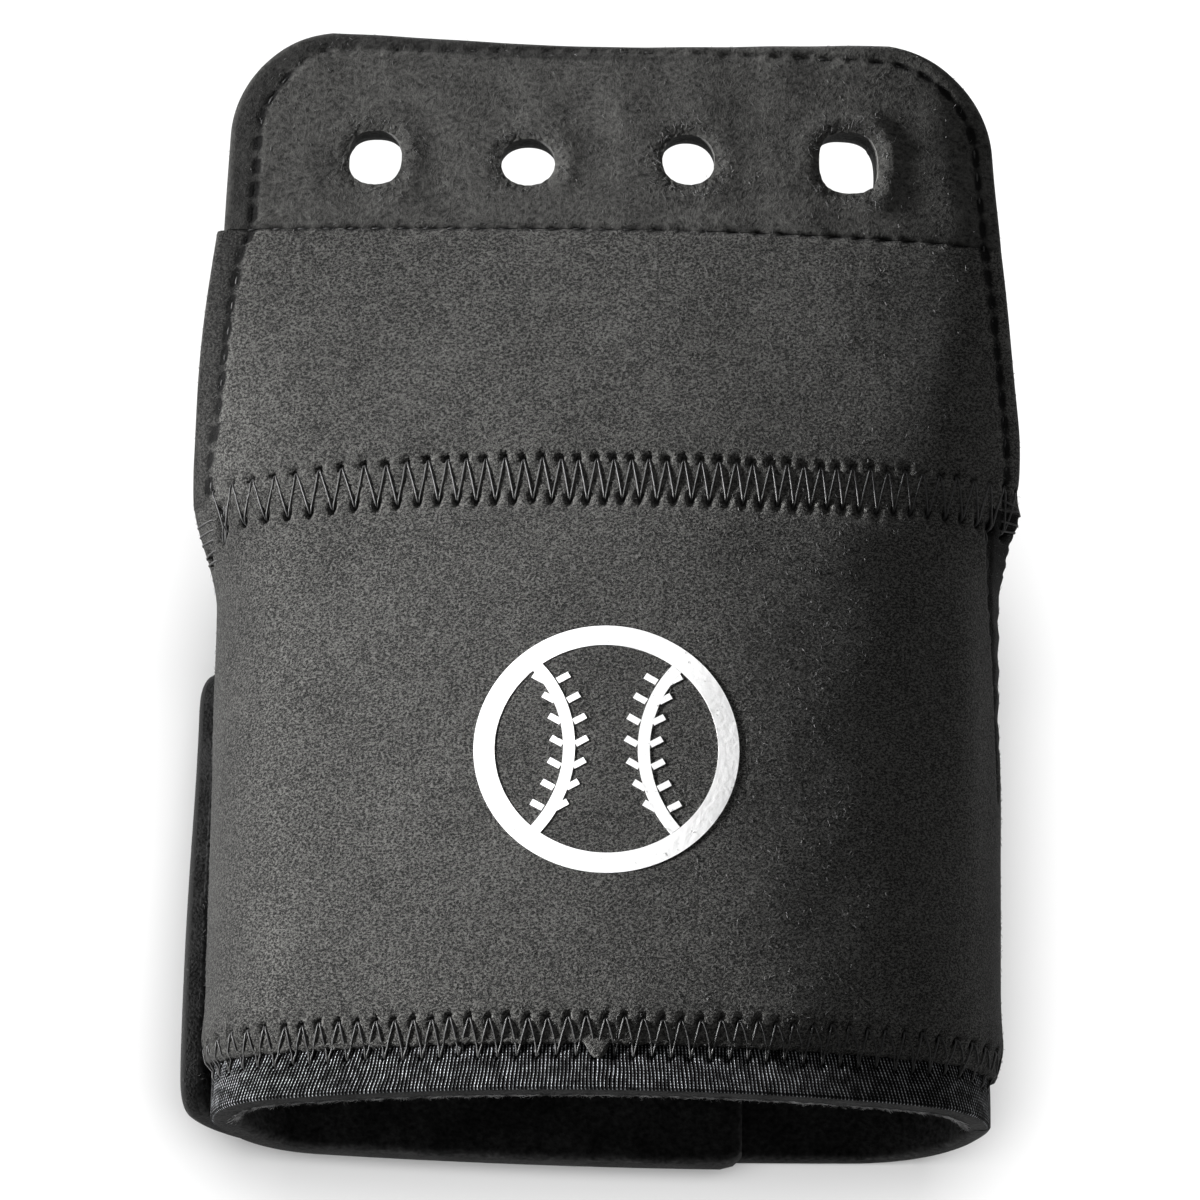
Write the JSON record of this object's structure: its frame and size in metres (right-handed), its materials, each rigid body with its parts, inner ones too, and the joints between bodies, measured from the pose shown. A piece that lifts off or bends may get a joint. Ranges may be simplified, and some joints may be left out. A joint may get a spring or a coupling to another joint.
{
  "type": "catcher's wrist guard",
  "caption": "Neoprene wrist cuff with a padded suede front, a wide strap that closes round the back and a flat suede flap with a row of lace holes.",
  "frame": {"origin": "middle of the flat back of the strap, on which the guard rests, 27 mm above the lower rim", "axes": "+Y up the cuff towards the laced flap, +Z out of the suede front, +X to the right of the front"},
  "size_m": [0.0954, 0.1282, 0.034],
  "materials": {
    "suede": "brushed charcoal suede on thin foam",
    "strip_suede": "smoother charcoal suede",
    "knit": "black knit over neoprene foam with a pile lining",
    "strap_knit": "black loop pile over neoprene foam",
    "hook": "black moulded hook tape",
    "thread": "glossy black polyester thread",
    "print_film": "matt white transfer film"
  },
  "bodies": {
    "root": {"cuff_sleeve": "knit", "closure_strap": "strap_knit", "hook_tab": "hook", "front_panel": "suede", "flap_lining": "knit", "flap_shell": "suede", "lace_strip": "strip_suede"}
  },
  "joints": []
}
